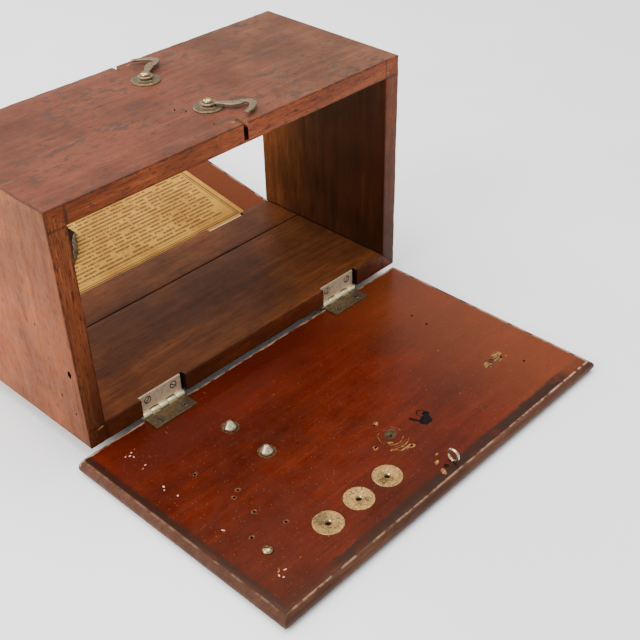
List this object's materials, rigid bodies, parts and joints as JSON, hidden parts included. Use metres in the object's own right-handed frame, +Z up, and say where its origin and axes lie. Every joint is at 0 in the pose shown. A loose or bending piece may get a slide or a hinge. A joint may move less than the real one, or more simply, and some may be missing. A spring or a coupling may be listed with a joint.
{
  "type": "instrument case",
  "caption": "Open-fronted wooden instrument case on a bench, with two hinged drop flaps, swing hooks with screw eyes, and small discs let into one flap.",
  "frame": {"origin": "on the table below the middle of the case, at the middle of its length and depth", "axes": "+Z up, +X along the case to the right, front flap at -Y, rear flap at +Y"},
  "size_m": [0.3236, 0.5173, 0.1962],
  "materials": {
    "case_wood": "worn satin varnish",
    "flap_wood": "glossy red-brown varnish",
    "hardware_brass": "aged, dulled",
    "disc_brass": "pitted",
    "iron": "dark",
    "label_paper": "aged paper"
  },
  "bodies": {
    "case": {"top_board": "case_wood", "left_side": "case_wood", "right_side": "case_wood", "floor_front_plank": "case_wood", "floor_rear_plank": "case_wood", "corner_brads": "iron", "front_left_case_leaf": "hardware_brass", "front_right_case_leaf": "hardware_brass", "rear_left_case_leaf": "hardware_brass", "rear_right_case_leaf": "hardware_brass", "front_left_hinge_pin": "iron", "front_right_hinge_pin": "iron", "rear_left_hinge_pin": "iron", "rear_right_hinge_pin": "iron", "case_leaf_screws": "hardware_brass", "front_hook_rose": "hardware_brass", "rear_hook_rose": "hardware_brass", "front_hook_rivet": "hardware_brass", "rear_hook_rivet": "hardware_brass"},
    "front_flap_body": {"front_flap": "flap_wood", "front_left_flap_leaf": "hardware_brass", "front_right_flap_leaf": "hardware_brass", "front_flap_leaf_screws": "hardware_brass", "front_screw_eye": "hardware_brass", "cone_stud_near_hinge": "hardware_brass", "cone_stud_far": "hardware_brass", "round_head_screw": "hardware_brass", "pinhole_disc_left": "disc_brass", "pinhole_disc_middle": "disc_brass", "pinhole_disc_right": "disc_brass"},
    "rear_flap_body": {"rear_flap": "flap_wood", "rear_left_flap_leaf": "hardware_brass", "rear_right_flap_leaf": "hardware_brass", "rear_flap_leaf_screws": "hardware_brass", "rear_screw_eye": "hardware_brass", "paper_label": "label_paper"},
    "front_hook_body": {"front_hook": "hardware_brass"},
    "rear_hook_body": {"rear_hook": "hardware_brass"}
  },
  "joints": [
    {"name": "front_flap_hinge", "type": "hinge", "parent": "case", "child": "front_flap_body", "pos_m": [0, -0.0654, 0.0117], "axis": [-1, 0, 0], "range_deg": [0, 90]},
    {"name": "rear_flap_hinge", "type": "hinge", "parent": "case", "child": "rear_flap_body", "pos_m": [0, 0.0654, 0.0117], "axis": [1, 0, 0], "range_deg": [-9.5, 80.5]},
    {"name": "front_hook_pivot", "type": "hinge", "parent": "case", "child": "front_hook_body", "pos_m": [0.0012, -0.032, 0.1931], "axis": [0, 0, 1], "range_deg": [-40, 90]},
    {"name": "rear_hook_pivot", "type": "hinge", "parent": "case", "child": "rear_hook_body", "pos_m": [0.0012, 0.032, 0.1931], "axis": [0, 0, 1], "range_deg": [-83, 47]}
  ]
}
